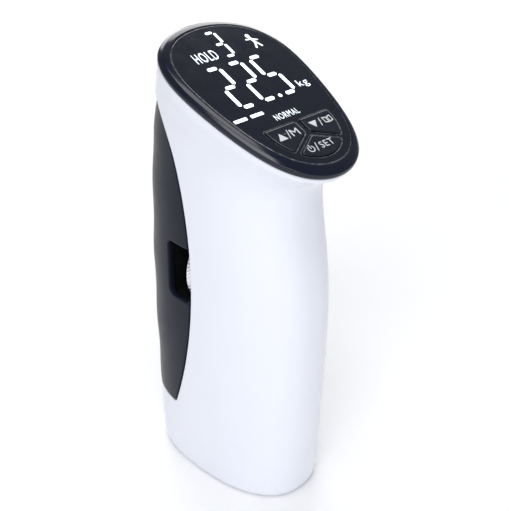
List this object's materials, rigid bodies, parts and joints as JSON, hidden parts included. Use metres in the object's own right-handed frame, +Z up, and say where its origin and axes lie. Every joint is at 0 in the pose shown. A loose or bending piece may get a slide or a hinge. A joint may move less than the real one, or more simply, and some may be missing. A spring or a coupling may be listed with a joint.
{
  "type": "digital hand grip dynamometer",
  "caption": "Upright hand grip strength meter with a sloping egg-shaped lit display, three keys, a sliding squeeze grip and a knurled span-adjusting wheel.",
  "frame": {"origin": "centre of the flat base on the table", "axes": "+Z up, +Y from the palm side toward the sliding finger grip, X across the body; the display slopes down toward -Y"},
  "size_m": [0.0478, 0.0726, 0.1501],
  "materials": {
    "white_shell": "smooth glossy moulded plastic",
    "dark_frame": "fine matte moulded plastic",
    "pale_base": "fine matte moulded plastic",
    "zinc_screw": "zinc plated steel",
    "black_screw": "blackened steel",
    "sheet_metal": "bare bent sheet steel",
    "cell_alloy": "milled alloy",
    "gauge_foil": "amber foil",
    "bronze": "plain turned bronze",
    "battery_wrap": "shrink film",
    "port_steel": "plated sheet",
    "board_green": "solder mask",
    "chip_black": "moulded epoxy",
    "flex_amber": "polyimide film",
    "light_white": "reflective white",
    "switch_dark": "moulded plastic",
    "silicone_grey": "silicone",
    "seal_black": "soft seal",
    "cap_black": "piano black with a blue tint",
    "panel_black": "smoked glossy panel",
    "lit_white": "lit strokes",
    "key_black": "glossy key",
    "wheel_silver": "fine knurl",
    "grip_black": "satin black with a blue tint",
    "core_dark": "ribbed moulding",
    "steel_bright": "ground steel"
  },
  "bodies": {
    "housing": {"main_housing": "white_shell", "rear_frame": "dark_frame", "base_plate": "pale_base", "base_screws": "zinc_screw", "chassis": "sheet_metal", "chassis_screws": "zinc_screw", "load_cell": "cell_alloy", "load_cell_screws": "black_screw", "strain_gauges": "gauge_foil", "thrust_washer": "bronze", "bushing_top": "bronze", "bushing_left": "bronze", "bushing_right": "bronze", "battery_pack": "battery_wrap", "battery_tray": "dark_frame", "charging_port": "port_steel", "port_board": "board_green", "main_board": "board_green", "main_chips": "chip_black", "flat_cable": "flex_amber", "face_board": "board_green", "light_block": "light_white", "key_switches": "switch_dark", "key_mat": "silicone_grey", "cap_gasket": "seal_black", "display_cap": "cap_black", "front_panel": "panel_black", "large_digits": "lit_white", "user_digit": "lit_white", "level_marks": "lit_white", "frame_screws": "zinc_screw"},
    "key_up": {"button_up": "key_black"},
    "key_down": {"button_down": "key_black"},
    "key_power": {"button_power": "key_black"},
    "wheel": {"adjuster_wheel": "wheel_silver", "wheel_hub": "bronze", "retaining_ring": "black_screw"},
    "grip": {"grip_cover": "grip_black", "grip_core": "core_dark", "grip_screws": "black_screw", "spindle": "steel_bright", "spindle_nut": "steel_bright", "guide_pin_top": "steel_bright", "guide_pin_left": "steel_bright", "guide_pin_right": "steel_bright"}
  },
  "joints": [
    {"name": "wheel_spin", "type": "hinge", "parent": "housing", "child": "wheel", "pos_m": [0, 0.0019, 0.0755], "axis": [0, 1, 0], "range_deg": [-2160, 0]},
    {"name": "grip_slide", "type": "slide", "parent": "housing", "child": "grip", "axis": [0, 1, 0], "range_m": [0, 0.015]},
    {"name": "key_up_press", "type": "slide", "parent": "housing", "child": "key_up", "axis": [0, 0.4478, -0.8942], "range_m": [0, 0.0006], "stiffness_N_per_m": 800, "springref_m": -0.002},
    {"name": "key_down_press", "type": "slide", "parent": "housing", "child": "key_down", "axis": [0, 0.4478, -0.8942], "range_m": [0, 0.0006], "stiffness_N_per_m": 800, "springref_m": -0.002},
    {"name": "key_power_press", "type": "slide", "parent": "housing", "child": "key_power", "axis": [0, 0.4478, -0.8942], "range_m": [0, 0.0006], "stiffness_N_per_m": 800, "springref_m": -0.002}
  ],
  "couplings": [
    {"joint": "wheel_spin", "follows": "grip_slide", "rad_per_m": -2513.3}
  ]
}
